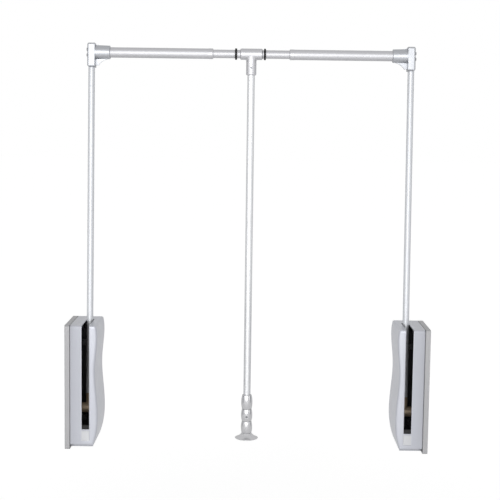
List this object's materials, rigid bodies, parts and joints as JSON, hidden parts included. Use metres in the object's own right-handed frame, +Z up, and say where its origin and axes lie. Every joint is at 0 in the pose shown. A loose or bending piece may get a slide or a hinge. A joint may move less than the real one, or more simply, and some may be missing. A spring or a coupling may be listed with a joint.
{
  "type": "pull down closet rod",
  "caption": "Wall-mounted wardrobe lift: slotted side housings carry swing arms and a telescoping hanging rail, drawn forward and down by a central pull rod.",
  "frame": {"origin": "bottom of the wall plates, midway between the two walls and mid-depth of the housings", "axes": "+X from the left wall to the right wall, +Y into the closet, +Z up"},
  "size_m": [0.775, 0.1336, 0.8651],
  "materials": {
    "case_plastic": "silver grey, fine grained",
    "tube_aluminium": "satin anodised",
    "cast_connector": "satin silver paint",
    "grip_plastic": "satin silver",
    "light_plastic": "satin",
    "dark_plastic": "matt",
    "rubber": "matt",
    "steel": "bright",
    "dark_steel": "blackened",
    "plated_steel": "yellow zinc plate",
    "dark_paint": "semi-gloss"
  },
  "bodies": {
    "left_housing": {"left_wall_plate": "case_plastic", "left_case": "case_plastic", "left_case_screws": "steel", "left_pivot_axle": "steel", "left_rack_guide": "dark_plastic", "left_gas_strut_cylinder": "dark_paint", "left_strut_bracket": "plated_steel", "left_damper_body": "dark_plastic", "left_up_bumper": "rubber", "left_down_bumper": "rubber"},
    "left_arm": {"left_swing_lever": "plated_steel", "left_pivot_bushes": "light_plastic", "left_arm_tube": "tube_aluminium", "left_arm_pin": "steel", "left_rail_connector": "cast_connector", "left_connector_screws": "dark_steel", "left_outer_tube": "tube_aluminium", "left_rail_plug": "light_plastic", "left_tube_collar": "light_plastic"},
    "left_rack": {"left_drive_rack": "steel", "left_gas_strut_rod": "steel"},
    "left_damper_gear": {"left_damper_pinion": "light_plastic"},
    "right_housing": {"right_wall_plate": "case_plastic", "right_case": "case_plastic", "right_case_screws": "steel", "right_pivot_axle": "steel", "right_rack_guide": "dark_plastic", "right_gas_strut_cylinder": "dark_paint", "right_strut_bracket": "plated_steel", "right_damper_body": "dark_plastic", "right_up_bumper": "rubber", "right_down_bumper": "rubber"},
    "right_arm": {"right_swing_lever": "plated_steel", "right_pivot_bushes": "light_plastic", "right_arm_tube": "tube_aluminium", "right_arm_pin": "steel", "right_rail_connector": "cast_connector", "right_connector_screws": "dark_steel", "right_outer_tube": "tube_aluminium", "right_rail_plug": "light_plastic", "right_tube_collar": "light_plastic"},
    "right_rack": {"right_drive_rack": "steel", "right_gas_strut_rod": "steel"},
    "right_damper_gear": {"right_damper_pinion": "light_plastic"},
    "rail_center": {"inner_tube": "tube_aluminium", "stop_rings": "rubber"},
    "pull_handle": {"tee_fitting": "cast_connector", "tee_set_screw": "dark_steel", "pull_rod": "tube_aluminium", "handle_grip": "grip_plastic", "handle_foot": "grip_plastic", "handle_screw": "dark_steel"}
  },
  "joints": [
    {"name": "swing", "type": "hinge", "parent": "left_housing", "child": "left_arm", "pos_m": [-0.3435, 0, 0.077], "axis": [1, 0, 0], "range_deg": [0, 108], "stiffness_Nm_per_rad": 10, "springref_deg": -28.65},
    {"name": "width_adjust", "type": "slide", "parent": "left_housing", "child": "right_housing", "axis": [1, 0, 0], "range_m": [-0.092, 0.114]},
    {"name": "right_swing", "type": "hinge", "parent": "right_housing", "child": "right_arm", "pos_m": [0.3435, 0, 0.077], "axis": [1, 0, 0], "range_deg": [0, 108]},
    {"name": "rail_center_slide", "type": "slide", "parent": "left_arm", "child": "rail_center", "axis": [1, 0, 0], "range_m": [-0.046, 0.057]},
    {"name": "pull_handle_swivel", "type": "hinge", "parent": "rail_center", "child": "pull_handle", "pos_m": [0, 0.04297, 0.8455], "axis": [1, 0, 0], "continuous": true},
    {"name": "left_rack_travel", "type": "slide", "parent": "left_housing", "child": "left_rack", "axis": [0, 0, 1], "range_m": [0, 0.0377]},
    {"name": "left_damper_spin", "type": "hinge", "parent": "left_housing", "child": "left_damper_gear", "pos_m": [-0.3695, 0.00875, 0.12805], "axis": [1, 0, 0], "range_deg": [0, 192]},
    {"name": "right_rack_travel", "type": "slide", "parent": "right_housing", "child": "right_rack", "axis": [0, 0, 1], "range_m": [0, 0.0377]},
    {"name": "right_damper_spin", "type": "hinge", "parent": "right_housing", "child": "right_damper_gear", "pos_m": [0.3695, 0.00875, 0.12805], "axis": [1, 0, 0], "range_deg": [0, 192]}
  ],
  "couplings": [
    {"joint": "right_swing", "follows": "swing", "ratio": 1},
    {"joint": "rail_center_slide", "follows": "width_adjust", "ratio": 0.5},
    {"joint": "left_rack_travel", "follows": "swing", "m_per_rad": 0.02},
    {"joint": "left_damper_spin", "follows": "swing", "ratio": 1.7778},
    {"joint": "right_rack_travel", "follows": "swing", "m_per_rad": 0.02},
    {"joint": "right_damper_spin", "follows": "swing", "ratio": 1.7778}
  ]
}
